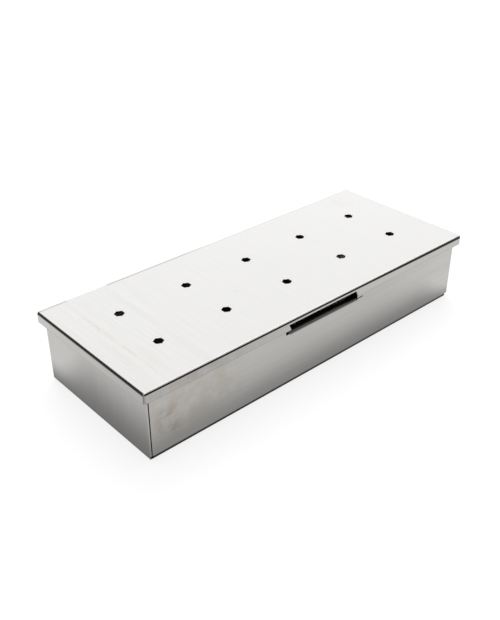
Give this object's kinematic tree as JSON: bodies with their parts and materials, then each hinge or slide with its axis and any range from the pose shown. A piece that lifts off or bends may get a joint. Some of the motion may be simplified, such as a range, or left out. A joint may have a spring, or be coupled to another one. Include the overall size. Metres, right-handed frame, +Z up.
{
  "type": "smoker box",
  "caption": "Stainless steel smoker box: a folded sheet tray for wood chips under a hinged lid with hexagonal vents and a finger notch at the front.",
  "frame": {"origin": "middle of the tray's underside", "axes": "+X along the box to the right, +Y to the rear where the hinges are, +Z up; the finger notch faces -Y"},
  "size_m": [0.23, 0.0927, 0.0415],
  "materials": {
    "brushed_sheet": "brushed",
    "hinge_steel": "satin"
  },
  "bodies": {
    "base": {"base_tray": "brushed_sheet", "left_hinge_base_leaf": "hinge_steel", "left_hinge_pin": "hinge_steel", "right_hinge_base_leaf": "hinge_steel", "right_hinge_pin": "hinge_steel"},
    "lid": {"lid_cover": "brushed_sheet", "left_hinge_lid_leaf": "hinge_steel", "right_hinge_lid_leaf": "hinge_steel"}
  },
  "joints": [
    {"name": "lid_hinge", "type": "hinge", "parent": "base", "child": "lid", "pos_m": [0, 0.045, 0.0338], "axis": [-1, 0, 0], "range_deg": [0, 160]}
  ]
}
